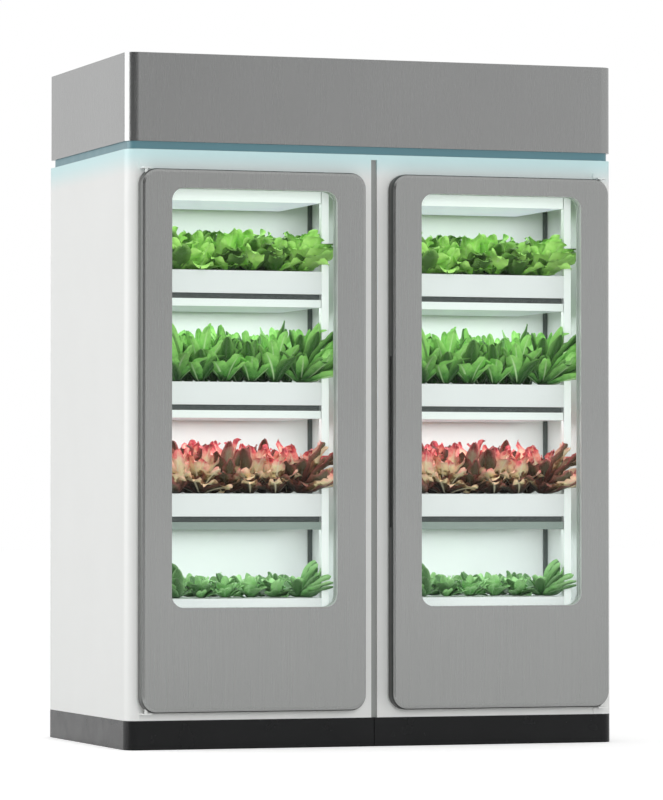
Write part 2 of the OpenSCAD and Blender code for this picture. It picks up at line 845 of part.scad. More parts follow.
module drain_pipe() {
    x = bay_x - pipe_x;
    z0 = tank_lid_z - tank_lid_t;
    z1 = tray_z[3] + drain_rise + 2 * drain_r;
    color("#9aa0a2") difference() {
        union() {
            rod(x, pipe_y, z0, z1, drain_r);
            for (z = tray_z) cross_rod(x, z + drain_rise, branch_end, pipe_y, branch_r);
        }
        pipe_bore(x, z0, z1, drain_r);
        for (z = tray_z) cross_rod(x, z + drain_rise, branch_end - eps, pipe_y, branch_r - pipe_t);
    }
}

// Fans and controls

module fan_frame() {
    strut_z = fan_z + fan_strut;
    color(dark) translate([fan_x, fan_y, 0]) {
        difference() {
            box(-fan_w / 2, fan_w / 2, -fan_w / 2, fan_w / 2, fan_z, lid_z);
            rod(0, 0, fan_z - eps, lid_z + eps, fan_r);
        }
        for (a = [0, 90]) rotate([0, 0, a + 45])
            box(-fan_r - eps, fan_r + eps, -fan_strut, fan_strut, fan_z, strut_z);
        rod(0, 0, fan_z, strut_z, fan_hub_r);
        rod(0, 0, strut_z - eps, lid_z - fan_strut, fan_shaft_r);
    }
}

module fan_rotor() {
    z0 = fan_z + fan_strut + fit;
    h = lid_z - fan_strut - z0;
    tip_r = fan_r - 2 * fan_shaft_r;
    blade_w = (h - fan_strut) / sin(fan_pitch) - 2 * fan_blade_t;
    color("#3a3d3f") translate([fan_x, fan_y, z0]) difference() {
        union() {
            cylinder(h = h, r = fan_hub_r);
            intersection() {
                cylinder(h = h, r = tip_r);
                for (i = [0 : fan_blades - 1]) rotate([0, 0, i * 360 / fan_blades])
                    translate([0, 0, h / 2]) rotate([fan_pitch, 0, 0])
                        translate([fan_hub_r / 2, -blade_w / 2, -fan_blade_t / 2])
                            cube([tip_r, blade_w, fan_blade_t]);
            }
        }
        translate([0, 0, -eps]) cylinder(h = h + 2 * eps, r = fan_shaft_r + running_fit);
    }
}

// Flange and body of the mains inlet, with a well for the plug and a well for the rocker
module power_inlet() {
    y1 = header_y1 + inlet_flange;
    body_inset = 2 * header_t + fit;
    well_w = rocker_w + 2 * rocker_pin_r;
    well_h = rocker_h + 2 * fit;
    well_y = rocker_y - rocker_w / 2;
    pin_gap = well_h + 2 * eps;
    body_w = inlet_w - 2 * body_inset;
    body_h = inlet_h - 2 * header_t - 2 * fit;
    color(dark) difference() {
        union() {
            box(inlet_x - inlet_w / 2, inlet_x + inlet_w / 2, header_y1, y1,
                inlet_z - inlet_h / 2, inlet_z + inlet_h / 2);
            box(inlet_x - body_w / 2, inlet_x + body_w / 2, header_y1 - inlet_d, y1 - eps,
                inlet_z - body_h / 2, inlet_z + body_h / 2);
        }
        box(socket_x - rocker_w / 2, socket_x + rocker_w / 2, y1 - rocker_w, y1 + eps, inlet_z - rocker_h / 2,
            inlet_z + rocker_h / 2);
        box(rocker_x - well_w / 2, rocker_x + well_w / 2, well_y, y1 + eps, inlet_z - well_h / 2,
            inlet_z + well_h / 2);
    }
    color("silver") for (x = [for (i = [-1 : 1]) socket_x + i * rocker_w / 4])
        box(x - eps, x + eps, y1 - rocker_w - eps, y1 - rocker_w / 3, inlet_z - 2 * eps, inlet_z + 2 * eps);
    color(dark) rod(rocker_x, rocker_y, inlet_z - pin_gap / 2, inlet_z + pin_gap / 2, rocker_pin_r);
}

// The rocker rests pressed down on one side
module power_rocker() {
    half = rocker_w / 2;
    rise = rocker_w / 6;
    color("#16181a") translate([rocker_x, rocker_y, inlet_z - rocker_h / 2]) rotate([0, 0, -rocker_turn / 2])
        difference() {
            linear_extrude(rocker_h) polygon([[-half, rise], [0, rise / 2], [half, rise],
                [half - rise, -rise], [-half + rise, -rise]]);
            translate([0, 0, -eps]) cylinder(h = rocker_h + 2 * eps, r = rocker_pin_r + running_fit);
        }
}

// Doors

// Bracket on the frame with its pin, above or below the door
module hinge_bracket(z, up) {
    pin_z = z - up * hinge_pin_len;
    root_z = z + up * hinge_t / 2;
    color(white) {
        box(hinge_x - hinge_w / 2, hinge_x + hinge_w / 2, hinge_y - hinge_w / 2, front_y,
            min(z, z + up * hinge_t), max(z, z + up * hinge_t));
        box(hinge_x - hinge_w / 2, hinge_x + hinge_w / 2, front_y - hinge_t, front_y,
            min(z, z + up * hinge_leaf), max(z, z + up * hinge_leaf));
        rod(hinge_x, hinge_y, min(root_z, pin_z), max(root_z, pin_z), hinge_pin_r);
    }
}

module hinge_brackets() {
    hinge_bracket(hinge_foot_z, -1);
    hinge_bracket(hinge_head_z, 1);
}

// Leaf with rounded front edges, the window, the seat of the glazing seal, hinge bores and the finger pull
module door_leaf() {
    rear = door_y + leaf_d;
    bore_len = hinge_pin_len + 2 * eps;
    bore_r = hinge_pin_r + running_fit;
    pull_z = (door_z0 + door_z1) / 2;
    color(grey) difference() {
        hull($fn = hull_fn) {
            door_plate(0, door_y + door_edge, rear);
            door_plate(door_edge * (1 - cos(45)), door_y + door_edge * (1 - sin(45)), rear);
            door_plate(door_edge, door_y, rear);
        }
        window_plate(0, door_y - eps, rear + eps);
        window_plate(seal_w, seal_y, rear + eps);
        rod(hinge_x, hinge_y, door_z0 - eps, door_z0 + bore_len, bore_r);
        rod(hinge_x, hinge_y, door_z1 - bore_len, door_z1 + eps, bore_r);
        box(door_x1 - pull_d, door_x1 + eps, rear - leaf_d / 2 - pull_w / 2, rear - leaf_d / 2 + pull_w / 2,
            pull_z - pull_len / 2, pull_z + pull_len / 2);
    }
}

module door_back() {
    color(white) difference() {
        door_plate(door_back_inset, door_rear - door_back_t, door_rear);
        window_plate(0, door_rear - door_back_t - eps, door_rear + eps);
    }
}

module glass_pane(y) {
    window_plate(pane_lap, y, y + pane_t);
}

// Outer and inner pane of one window
pane_ys = [seal_y + fit, seal_y + seal_d - fit - pane_t];

module glass() {
    color("#cfe8e4", 0.35) for (y = pane_ys) glass_pane(y);
}

module glazing_seal() {
    color("#6f7372") difference() {
        window_plate(seal_w - fit, seal_y + eps / 10, seal_y + seal_d - eps / 10);
        window_plate(0, seal_y - eps, seal_y + seal_d + eps);
        for (y = pane_ys) window_plate(pane_lap + fit, y - fit, y + pane_t + fit);
    }
}

module door_gasket() {
    inset = door_lap - gasket_w;
    color("#55585a") difference() {
        door_plate(inset, door_rear, front_y - fit);
        door_plate(door_lap, door_rear - eps, front_y + eps);
    }
}

// Drawing: each piece by itself, or all of them

for (side = SIDES) {
    on_side(side) plinth();
    on_side(side) front_frame();
    on_side(side) outer_side_panel();
    on_side(side) door_leaf();
    on_side(side) door_back();
    on_side(side) glass();
    on_side(side) glazing_seal();
    on_side(side) door_gasket();
    on_side(side) fill_cap();
    on_side(side) impeller();
    on_side(side) fan_rotor();
}
on_both_sides() inner_side_panel();  // inner_side_panels
on_both_sides() bay_floor();  // bay_floors
on_both_sides() bay_roof();  // bay_roofs
on_both_sides() back_panel();  // back_panels
seam_strips();
top_deck();
light_channel();
light_lens();
header_shell();
header_lid();
on_both_sides() chamber_back_wall();  // chamber_back_walls
on_both_sides() chamber_side_walls();
on_both_sides() chamber_ceiling();  // chamber_ceilings
on_both_sides() chamber_floor();  // chamber_floors
on_both_sides() rack_uprights();
on_both_sides() rack_rails();
on_both_sides() for (z = tray_z) tray(z);  // trays
on_both_sides() for (z = tray_z) planting_board(z);  // planting_boards
on_both_sides() {  // lamp_housings
    for (z = lamp_top) lamp(z, lamp_h);
    lamp(ceiling_z - rail_h, top_lamp_h);
}
on_both_sides() {  // lamp_lenses
    for (z = lamp_top) lamp_lens(z, lamp_h);
    lamp_lens(ceiling_z - rail_h, top_lamp_h);
}
on_both_sides() {  // led_boards
    for (z = lamp_top) led_board(z);
    led_board(ceiling_z - rail_h);
}
on_both_sides() tank();  // tanks
on_both_sides() tank_lid();  // tank_lids
on_both_sides() pump_body();  // pump_bodies
on_both_sides() supply_pipe();  // supply_pipes
on_both_sides() drain_pipe();  // drain_pipes
control_box();
on_both_sides() fan_frame();  // fan_frames
power_inlet();
power_rocker();
on_both_sides() hinge_brackets();
on_both_sides() {  // panel_screws
    for (x = screw_xs, z = screw_zs) panel_screw(x, z);
}
crop(0, seedling_h, seedling_fullness, "#6f9c45");  // seedlings
crop(1, red_lettuce_h, red_lettuce_fullness, "#a0565f");  // red_lettuce
crop(2, romaine_h, romaine_fullness, "#7fae4c");  // romaine
crop(3, leaf_lettuce_h, leaf_lettuce_fullness, "#8cbf55");  // leaf_lettuce
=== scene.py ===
"""Looks of the hydroponic grow cabinet: camera, studio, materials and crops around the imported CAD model."""
import json
import math
import random

import bmesh
import bpy
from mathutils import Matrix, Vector


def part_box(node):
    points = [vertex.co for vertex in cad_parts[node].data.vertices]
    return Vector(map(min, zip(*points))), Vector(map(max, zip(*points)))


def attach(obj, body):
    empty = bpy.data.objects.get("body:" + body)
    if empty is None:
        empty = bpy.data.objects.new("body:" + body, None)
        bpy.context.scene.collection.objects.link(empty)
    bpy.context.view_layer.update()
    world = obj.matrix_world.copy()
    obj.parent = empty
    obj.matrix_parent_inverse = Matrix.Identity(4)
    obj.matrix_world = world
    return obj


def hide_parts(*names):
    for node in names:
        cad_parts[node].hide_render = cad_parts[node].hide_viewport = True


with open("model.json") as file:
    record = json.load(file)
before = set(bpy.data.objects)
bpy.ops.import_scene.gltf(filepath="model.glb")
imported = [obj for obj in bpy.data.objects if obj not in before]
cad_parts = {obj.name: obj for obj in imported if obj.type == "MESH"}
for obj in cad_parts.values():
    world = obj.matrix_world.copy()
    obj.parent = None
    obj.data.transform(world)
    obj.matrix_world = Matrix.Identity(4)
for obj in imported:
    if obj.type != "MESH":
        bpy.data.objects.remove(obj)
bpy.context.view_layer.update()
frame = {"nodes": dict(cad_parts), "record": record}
nodes = frame["nodes"]
scene = bpy.context.scene
scene.view_settings.view_transform = "Standard"

# Middle of each bay across the cabinet
BAYS = {"left": -0.3795, "right": 0.3795}


def add_object(name, data):
    """A new object, linked into the scene."""
    thing = bpy.data.objects.new(name, data)
    scene.collection.objects.link(thing)
    return thing


# ---------------------------------------------------------------- camera

CAMERA_AT = Vector((-4.407, -12.888, 0.690))
CAMERA_YAW = math.radians(18.88)
CAMERA_RISE = math.radians(1.37)
CAMERA_LENS, CAMERA_SENSOR = 204.9, 36.0
CAMERA_CLIP = (0.1, 200.0)


def make_camera():
    data = bpy.data.cameras.new("photo_camera")
    data.lens, data.sensor_width = CAMERA_LENS, CAMERA_SENSOR
    data.clip_start, data.clip_end = CAMERA_CLIP
    camera = add_object("photo_camera", data)
    camera.location = CAMERA_AT
    camera.rotation_euler = (math.radians(90) + CAMERA_RISE, 0.0, -CAMERA_YAW)
    scene.camera = camera


make_camera()

# ---------------------------------------------------------------- node helpers

BLACK, BRIGHT = (0.0, 0.0, 0.0), (1.0, 1.0, 1.0)
NO_STRETCH = (1.0, 1.0, 1.0)
# The range that most of a noise's values lie in
NOISE_LOW, NOISE_HIGH = 0.3, 0.7


class Look:
    """A material and short calls for the shader nodes that are used here."""

    def __init__(self, name):
        self.mat = bpy.data.materials.new(name)
        self.mat.use_nodes = True
        self.tree = self.mat.node_tree
        self.tree.nodes.clear()
        self.out = self.add("OutputMaterial")
        self.bsdf = self.add("BsdfPrincipled")
        self.join(self.bsdf.outputs["BSDF"], self.out.inputs["Surface"])

    def add(self, kind, **values):
        node = self.tree.nodes.new("ShaderNode" + kind)
        for key, value in values.items():
            setattr(node, key, value)
        return node

    def join(self, a, b):
        self.tree.links.new(a, b)

    def set(self, **values):
        """Constant sockets of the main shader, with spaces written as underscores."""
        for key, value in values.items():
            colour = isinstance(value, tuple)
            self.bsdf.inputs[key.replace("_", " ")].default_value = (*value, 1.0) if colour else value

    def feed(self, name, socket):
        self.join(socket, self.bsdf.inputs[name])

    def place(self, stretch=NO_STRETCH):
        """The point in the object's own frame, in metres, stretched."""
        coord = self.add("TexCoord")
        mapping = self.add("Mapping")
        mapping.inputs["Scale"].default_value = stretch
        self.join(coord.outputs["Object"], mapping.inputs["Vector"])
        return mapping.outputs["Vector"]

    def axis(self, letter, source="Object"):
        """One coordinate of the point, or of the normal, in the object's own frame."""
        coord = self.add("TexCoord")
        split = self.add("SeparateXYZ")
        self.join(coord.outputs[source], split.inputs["Vector"])
        return split.outputs[letter]

    def noise(self, scale, stretch=NO_STRETCH, detail=4.0, rough=0.55):
        node = self.add("TexNoise")
        node.inputs["Scale"].default_value = scale
        node.inputs["Detail"].default_value = detail
        node.inputs["Roughness"].default_value = rough
        self.join(self.place(stretch), node.inputs["Vector"])
        return node.outputs["Fac"]

    def span(self, value, low, high, to_low=0.0, to_high=1.0, smooth=False):
        """A value taken from one range to another."""
        node = self.add("MapRange")
        node.interpolation_type = "SMOOTHSTEP" if smooth else "LINEAR"
        ends = (("From Min", low), ("From Max", high), ("To Min", to_low), ("To Max", to_high))
        for key, number in ends:
            node.inputs[key].default_value = number
        self.join(value, node.inputs["Value"])
        return node.outputs["Result"]

    def vary(self, scale, low, high):
        """A value that wanders from low to high over the surface."""
        return self.span(self.noise(scale), NOISE_LOW, NOISE_HIGH, low, high)

    def math(self, operation, a, b=None):
        node = self.add("Math", operation=operation)
        for socket, value in zip(node.inputs, (a, b)):
            if value is None:
                continue
            if isinstance(value, (int, float)):
                socket.default_value = value
            else:
                self.join(value, socket)
        return node.outputs["Value"]

    def ramp(self, value, stops):
        node = self.add("ValToRGB")
        elements = node.color_ramp.elements
        while len(elements) < len(stops):
            elements.new(0.5)
        for element, (at, colour) in zip(elements, stops):
            element.position = at
            element.color = (*colour, 1.0)
        self.join(value, node.inputs["Fac"])
        return node.outputs["Color"]

    def mix(self, factor, a, b):
        """Colour a, or b where the factor is 1."""
        node = self.add("Mix", data_type="RGBA")
        inputs = {s.identifier: s for s in node.inputs}
        for key, value in (("Factor_Float", factor), ("A_Color", a), ("B_Color", b)):
            if isinstance(value, tuple):
                inputs[key].default_value = (*value, 1.0)
            else:
                self.join(value, inputs[key])
        return next(s for s in node.outputs if s.identifier == "Result_Color")

    def bump(self, height, distance, strength=1.0):
        node = self.add("Bump")
        node.inputs["Distance"].default_value = distance
        node.inputs["Strength"].default_value = strength
        self.join(height, node.inputs["Height"])
        self.feed("Normal", node.outputs["Normal"])


def shade(colour, factor):
    return tuple(min(1.0, c * factor) for c in colour)


def mottled(look, colour, amount, scale):
    """A colour that varies a little over the surface."""
    stops = [(NOISE_LOW, shade(colour, 1 - amount)), (NOISE_HIGH, shade(colour, 1 + amount))]
    return look.ramp(look.noise(scale), stops)


GLOSS_SCALE, GLOSS_SPREAD = 3, 0.05
GRAIN_DETAIL = 2.0


def plain(name, colour, rough, mottle=0.03, scale=5.0, grain=600.0, depth=0.00015, **sockets):
    """Paint or moulded plastic: a faint cloudiness, uneven gloss and a fine grain."""
    look = Look(name)
    look.set(**sockets)
    look.feed("Base Color", mottled(look, colour, mottle, scale))
    look.feed("Roughness", look.vary(scale * GLOSS_SCALE, rough - GLOSS_SPREAD, rough + GLOSS_SPREAD))
    if depth:
        look.bump(look.noise(grain, detail=GRAIN_DETAIL), depth)
    return look


# ---------------------------------------------------------------- materials

# Painted glow of the light strip on the paint below it: the heights it grows over, its painted tint and emission
# colours and strength, and the normal's Z of upright and level faces
GLOW_LOW, GLOW_HIGH = 1.640, 1.722
PAINTED_GLOW_TINT, PAINTED_GLOW_LIGHT, PAINTED_GLOW_LEVEL = (0.58, 0.74, 0.75), (0.0, 0.26, 0.27), 0.20
UPRIGHT_Z, LEVEL_Z = 0.5, 0.8
CABINET_WHITE, CABINET_SPECULAR = (0.80, 0.81, 0.795), 0.28
# Amount and scale of the mottle, scale and range of the gloss, scale and depth of the grain
CABINET_MOTTLE, CABINET_GLOSS, CABINET_GRAIN = (0.012, 3.0), (9.0, 0.34, 0.42), (420.0, 0.00012)


def white_paint():
    """White powder coat; just below the light strip its upright faces carry a painted glow of the strip's light, as
    a cyan tint and a faint emission.
    """
    look = Look("white_paint")
    normal_z = look.math("ABSOLUTE", look.axis("Z", "Normal"))
    upright = look.span(normal_z, UPRIGHT_Z, LEVEL_Z, 1.0, 0.0)
    height = look.span(look.axis("Z"), GLOW_LOW, GLOW_HIGH, smooth=True)
    # Painted light: the strip's glow on the upright faces just below it
    glow = look.math("MULTIPLY", upright, height)
    look.feed("Base Color", look.mix(glow, mottled(look, CABINET_WHITE, *CABINET_MOTTLE), PAINTED_GLOW_TINT))
    look.feed("Roughness", look.vary(*CABINET_GLOSS))
    look.feed("Emission Color", look.mix(glow, BLACK, PAINTED_GLOW_LIGHT))
    look.set(Specular_IOR_Level=CABINET_SPECULAR, Emission_Strength=PAINTED_GLOW_LEVEL)
    scale, depth = CABINET_GRAIN
    look.bump(look.noise(scale, detail=GRAIN_DETAIL), depth)
    return look.mat


METAL, STEEL_ROUGH, STEEL_MOTTLE = 0.85, (0.22, 0.28), (0.02, 2.5)
STREAK_STRETCH, STREAK_LOW, STREAK_HIGH = (900.0, 900.0, 3.0), 0.35, 0.65
STREAK_SHARE, STREAK_SHADE, STREAK_DEPTH = 0.16, 0.85, 0.00001
HEADER_GREY = (0.300, 0.304, 0.301)
# A door leaf's rim is where its normal's Y falls from RIM_FLAT to RIM_EDGE. It is an outer edge or the window's
# reveal by the way that it faces, seen from the middle of the leaf.
DOOR_GREY, DOOR_EDGE, REVEAL = (0.345, 0.352, 0.345), (0.095, 0.098, 0.095), (0.62, 0.65, 0.63)
RIM_EDGE, RIM_FLAT, RIM_FACING = 0.62, 0.97, 0.04
RIM_ROUGH, REVEAL_METAL = 0.25, 0.1
# Below its middle a leaf's front is darkened towards its foot: painted shade
FOOT_DOWN, FOOT_FROM, FOOT_SHADE = 0.78, 0.20, 0.12


def steel(name, colour, edge=None, centre=None):
    """Satin metal with a fine upright grain; a door leaf has darker outer edges, a pale window reveal, and painted
    shade that darkens its front towards its foot.
    """
    look = Look(name)
    grain = look.noise(1.0, STREAK_STRETCH, detail=GRAIN_DETAIL)
    streak = look.span(grain, STREAK_LOW, STREAK_HIGH, 0.0, STREAK_SHARE)
    paint = look.mix(streak, mottled(look, colour, *STEEL_MOTTLE), shade(colour, STREAK_SHADE))
    rough = look.span(grain, NOISE_LOW, NOISE_HIGH, *STEEL_ROUGH)
    look.set(Metallic=METAL)
    if edge:
        facing = look.math("ABSOLUTE", look.axis("Y", "Normal"))
        rim = look.span(facing, RIM_EDGE, RIM_FLAT, 1.0, 0.0, smooth=True)
        outward = [look.math("MULTIPLY", look.axis(letter, "Normal"),
                             look.math("SUBTRACT", look.axis(letter), middle))
                   for letter, middle in (("X", centre.x), ("Z", centre.z))]
        outward = look.math("ADD", *outward)
        outer = look.math("MULTIPLY", rim, look.span(outward, 0.0, RIM_FACING))
        inner = look.math("MULTIPLY", rim, look.span(outward, -RIM_FACING, 0.0, 1.0, 0.0))
        # Painted shade: the leaf's front darkens towards its foot
        foot = look.span(look.axis("Z"), centre.z - FOOT_DOWN, centre.z - FOOT_FROM, FOOT_SHADE, 0.0,
                         smooth=True)
        paint = look.mix(outer, look.mix(foot, paint, BLACK), edge)
        paint = look.mix(inner, paint, REVEAL)
        look.feed("Metallic", look.span(inner, 0.0, 1.0, METAL, REVEAL_METAL))
        rough = look.math("ADD", rough, look.math("MULTIPLY", rim, RIM_ROUGH))
    look.feed("Base Color", paint)
    look.feed("Roughness", rough)
    look.bump(grain, STREAK_DEPTH)
    return look.mat


FORWARD_Y, SIDEWAYS_Y = -0.9, -0.5


def facing_window(look):
    """1 on faces that look forward, at the window."""
    return look.span(look.axis("Y", "Normal"), FORWARD_Y, SIDEWAYS_Y, 1.0, 0.0)


# Over the first range of heights a housing turns from grey, as painted shade, to white with a painted glow on its
# front; over the second the painted glow on the fronts grows to its strongest, on the top lamp
LAMP_PAINTED_LIT, LAMP_TOP = (0.70, 0.72), (1.40, 1.55)
LAMP_PAINTED_SHADE, LAMP_WHITE, LAMP_PAINTED_GLOW = (0.28, 0.335, 0.305), (0.88, 0.92, 0.90), (0.93, 1.0, 0.96)
LAMP_FRONT, LAMP_GLOSS = (0.04, 0.24), (12.0, 0.36, 0.44)


def lamp_paint():
    """Lamp housings: white with a painted glow along their fronts, strongest on the top one, and the lowest one
    painted grey as painted shade.
    """
    look = Look("lamp_paint")
    # Painted shade below this height, painted glow on the fronts above it
    painted_lit = look.span(look.axis("Z"), *LAMP_PAINTED_LIT)
    front = look.math("MULTIPLY", painted_lit, facing_window(look))
    look.feed("Base Color", look.mix(painted_lit, LAMP_PAINTED_SHADE, LAMP_WHITE))
    look.feed("Emission Color", look.mix(front, BLACK, LAMP_PAINTED_GLOW))
    look.feed("Roughness", look.vary(*LAMP_GLOSS))
    look.feed("Emission Strength", look.span(look.axis("Z"), *LAMP_TOP, *LAMP_FRONT))
    return look.mat


RACK_WHITE, RACK_ROUGH, RACK_MOTTLE = (0.88, 0.90, 0.89), 0.4, 0.01
# Colour and strength of the painted glow on the uprights' window-facing fronts
RACK_PAINTED_GLOW, RACK_PAINTED_GLOW_LEVEL = (0.94, 1.0, 0.98), 0.16


def rack_paint():
    """White uprights, with a painted glow on the front that faces the window."""
    look = plain("rack_paint", RACK_WHITE, RACK_ROUGH, mottle=RACK_MOTTLE)
    look.feed("Emission Color", look.mix(facing_window(look), BLACK, RACK_PAINTED_GLOW))
    look.set(Emission_Strength=RACK_PAINTED_GLOW_LEVEL)
    return look.mat


LIT_ROUGH = 0.35


def lit(name, colour, glow, strength=0.0):
    """Translucent plastic with light behind it."""
    look = plain(name, colour, LIT_ROUGH, depth=0.0)
    look.set(Emission_Color=glow, Emission_Strength=strength)
    return look


LENS_PLASTIC, LENS_GLOW = (0.52, 0.57, 0.55), (0.80, 0.78, 1.0)
LENS_TOP, LENS_LEVEL = (1.35, 1.50), (0.14, 0.42)


def lamp_lens():
    """Lamp lenses: the top one, which faces the eye, looks brighter than those lower down."""
    look = lit("lamp_lens", LENS_PLASTIC, LENS_GLOW)
    look.feed("Emission Strength", look.span(look.axis("Z"), *LENS_TOP, *LENS_LEVEL))
    return look.mat


STRIP_PLASTIC, STRIP_GLOW, STRIP_LEVEL = (0.05, 0.12, 0.14), (0.35, 0.75, 0.88), 0.12
GLASS_TINT, GLASS_ROUGH, GLASS_IOR = (0.988, 0.998, 0.994), 0.02, 1.12


def glass():
    """Clear pane: light passes through, and a faint reflection lies on it."""
    look = Look("window_glass")
    look.tree.nodes.remove(look.bsdf)
    clear = look.add("BsdfTransparent")
    clear.inputs["Color"].default_value = (*GLASS_TINT, 1.0)
    shine = look.add("BsdfGlossy")
    shine.inputs["Color"].default_value = (*BRIGHT, 1.0)
    shine.inputs["Roughness"].default_value = GLASS_ROUGH
    fresnel = look.add("Fresnel")
    fresnel.inputs["IOR"].default_value = GLASS_IOR
    blend = look.add("MixShader")
    sources = (fresnel.outputs["Fac"], clear.outputs["BSDF"], shine.outputs["BSDF"])
    for source, socket in zip(sources, blend.inputs):
        look.join(source, socket)
    look.join(blend.outputs["Shader"], look.out.inputs["Surface"])
    return look.mat


# Paint, plastic and rubber by the record's slot: name, colour, roughness, and what differs from plain's own values
PLAIN = {
    "plinth_black": ("plinth_black", (0.007, 0.0075, 0.008), 0.24,
                     dict(mottle=0.15, grain=900.0, depth=0.00008, Specular_IOR_Level=0.20)),
    "seam_grey": ("seam_grey", (0.30, 0.31, 0.30), 0.5, {}),
    "door_back": ("door_back_white", (0.80, 0.82, 0.80), 0.40, {}),
    "glazing_seal": ("seal_rubber", (0.56, 0.61, 0.575), 0.7, dict(grain=900.0, depth=0.0002)),
    "door_gasket": ("gasket_rubber", (0.05, 0.052, 0.052), 0.75, dict(grain=900.0, depth=0.0002)),
    "light_channel": ("channel_alloy", (0.55, 0.58, 0.60), 0.4, dict(Metallic=0.8)),
    "chamber": ("chamber_lining", (0.86, 0.88, 0.875), 0.45, dict(mottle=0.012)),
    "tray_white": ("tray_plastic", (0.81, 0.825, 0.825), 0.42, dict(mottle=0.015, grain=350.0)),
    "board_white": ("board_plastic", (0.82, 0.85, 0.82), 0.5, dict(mottle=0.02)),
    "led_board": ("led_board", (0.62, 0.72, 0.60), 0.5, {}),
    "tank": ("tank_plastic", (0.62, 0.66, 0.67), 0.45, {}),
    "tank_lid": ("tank_lid_plastic", (0.45, 0.49, 0.50), 0.45, {}),
    "fill_cap": ("cap_plastic", (0.025, 0.027, 0.027), 0.45, dict(grain=500.0, depth=0.0003)),
    "pump": ("pump_plastic", (0.02, 0.021, 0.023), 0.4, {}),
    "impeller": ("impeller_plastic", (0.55, 0.62, 0.66), 0.3, {}),
    "supply_pipe": ("supply_plastic", (0.58, 0.61, 0.62), 0.4, {}),
    "drain_pipe": ("drain_plastic", (0.32, 0.36, 0.37), 0.45, {}),
    "control_box": ("control_paint", (0.68, 0.72, 0.70), 0.42, {}),
    "fan_frame": ("fan_plastic", (0.014, 0.014, 0.016), 0.5, dict(grain=700.0)),
    "fan_rotor": ("rotor_plastic", (0.032, 0.035, 0.038), 0.42, {}),
    "inlet": ("inlet_plastic", (0.011, 0.011, 0.012), 0.4, {}),
    "rocker": ("rocker_plastic", (0.007, 0.007, 0.008), 0.22, dict(depth=0.0)),
    "screw_steel": ("zinc_steel", (0.55, 0.56, 0.57), 0.32, dict(mottle=0.08, scale=300.0, Metallic=1.0)),
}
LOOKS = {slot: plain(name, colour, rough, **more).mat
         for slot, (name, colour, rough, more) in PLAIN.items()}
LOOKS.update({
    "cabinet_white": white_paint(),
    "header_grey": steel("header_steel", HEADER_GREY),
    "glass": glass(),
    "light_lens": lit("strip_lens", STRIP_PLASTIC, STRIP_GLOW, STRIP_LEVEL).mat,
    "rack_white": rack_paint(),
    "lamp_white": lamp_paint(),
    "lamp_lens": lamp_lens(),
})


def door_steel(name):
    """A door leaf's metal, with the middle of the leaf in the leaf's own frame."""
    corners = [Vector(c) for c in nodes[name].bound_box]
    return steel(name + "_steel", DOOR_GREY, DOOR_EDGE, sum(corners, Vector()) / len(corners))


def dress_nodes():
    """Each CAD node takes the look of its slot in the record."""
    for row in frame["record"]["subparts"]:
        name, slot = row["node"], row["material_slot"]
        look = door_steel(name) if slot == "door_grey" else LOOKS.get(slot)
        if look:
            nodes[name].data.materials.clear()
            nodes[name].data.materials.append(look)


dress_nodes()

# ---------------------------------------------------------------- crops

CUP_PITCH_X, CUP_PITCH_Y = 0.076, 0.115
CUPS_X, CUPS_Y = 6, 3
PLUG_BELOW_RIM, PLUG_R, PLUG_SIDES = 0.041, 0.018, 16
ROOT_DEPTH = 0.004
# Where leaves may reach: above the rim, between the uprights, past them in front, and behind the pane
LEAF_CLEAR, POST_IN, POST_FRONT, SPILL_OUT, GLASS_BACK = 0.002, 0.229, -0.347, 0.285, -0.386

# Rows and columns of a leaf in front and of one behind
FRONT_MESH, BACK_MESH = (11, 9), (8, 5)
LEAF_THICK = 0.0007
BLADE_RISE, BLADE_EASE, TIP_WIDTH = 1.45, 1.6, 0.06
BEND_EASE, HALF_PHASE = 1.5, 1.3

# Seeded draws: a whole turn, and the ranges of what differs from leaf to leaf
FIRST_SEED = 11
GOLDEN = math.radians(137.5)
WHOLE_TURN, TURN_SHAKE, SWAY, ROLL = 6.28, 0.25, 0.5, 0.35
PLANT_SIZE = (0.88, 1.0)
LENGTH_DRAW, WIDTH_DRAW, LEAN_DRAW, BEND_DRAW = (0.80, 1.0), (0.78, 1.12), (0.7, 1.25), (0.5, 1.3)

# Leaves that spill past an upright: bearings in degrees, leans of high and low ones, bend, and their draws
SPILL_LEAVES = 18
SPILL_FIRST, SPILL_FAN, SPILL_SHAKE = 6, 24, 4
SPILL_LOW, SPILL_HIGH, SPILL_BEND = (62, 84), (34, 62), (-34, -6)
SPILL_LENGTH, SPILL_WIDTH, SPILL_CURL = (0.86, 1.0), (0.8, 1.1), (0.4, 1.1)

# Each crop: leaves on a front plant and on a plant behind, length and width of inner and outer leaves in metres,
# lean of inner and outer leaves and their bend in degrees, cupping, ruffle height, number of ruffles, width of the
# stalk as a share of the blade, roundness of the tip, share of the colour ramp that the outermost leaves reach, and
# the length of the leaves that spill over at the front ends.
CROPS = {
    "leaf_lettuce": dict(
        leaves=(24, 12), length=(0.150, 0.118), width=(0.052, 0.072), lean=(7, 56), bend=(16, 36),
        cup=0.22, ruffle=0.010, waves=2.6, stalk=0.30, tip=5.0, low=0.66, spill=0.145),
    "romaine": dict(
        leaves=(24, 12), length=(0.194, 0.124), width=(0.040, 0.052), lean=(4, 40), bend=(10, 32),
        cup=0.30, ruffle=0.004, waves=3.0, stalk=0.40, tip=4.5, low=0.85, spill=0.205),
    "red_lettuce": dict(
        leaves=(24, 12), length=(0.180, 0.108), width=(0.044, 0.060), lean=(5, 54), bend=(16, 40),
        cup=0.24, ruffle=0.009, waves=3.0, stalk=0.34, tip=5.0, low=0.56, spill=0.185),
    "seedlings": dict(
        leaves=(16, 10), length=(0.083, 0.076), width=(0.034, 0.046), lean=(6, 56), bend=(20, 40),
        cup=0.22, ruffle=0.003, waves=2.0, stalk=0.20, tip=4.0, low=0.70, spill=0.128),
}
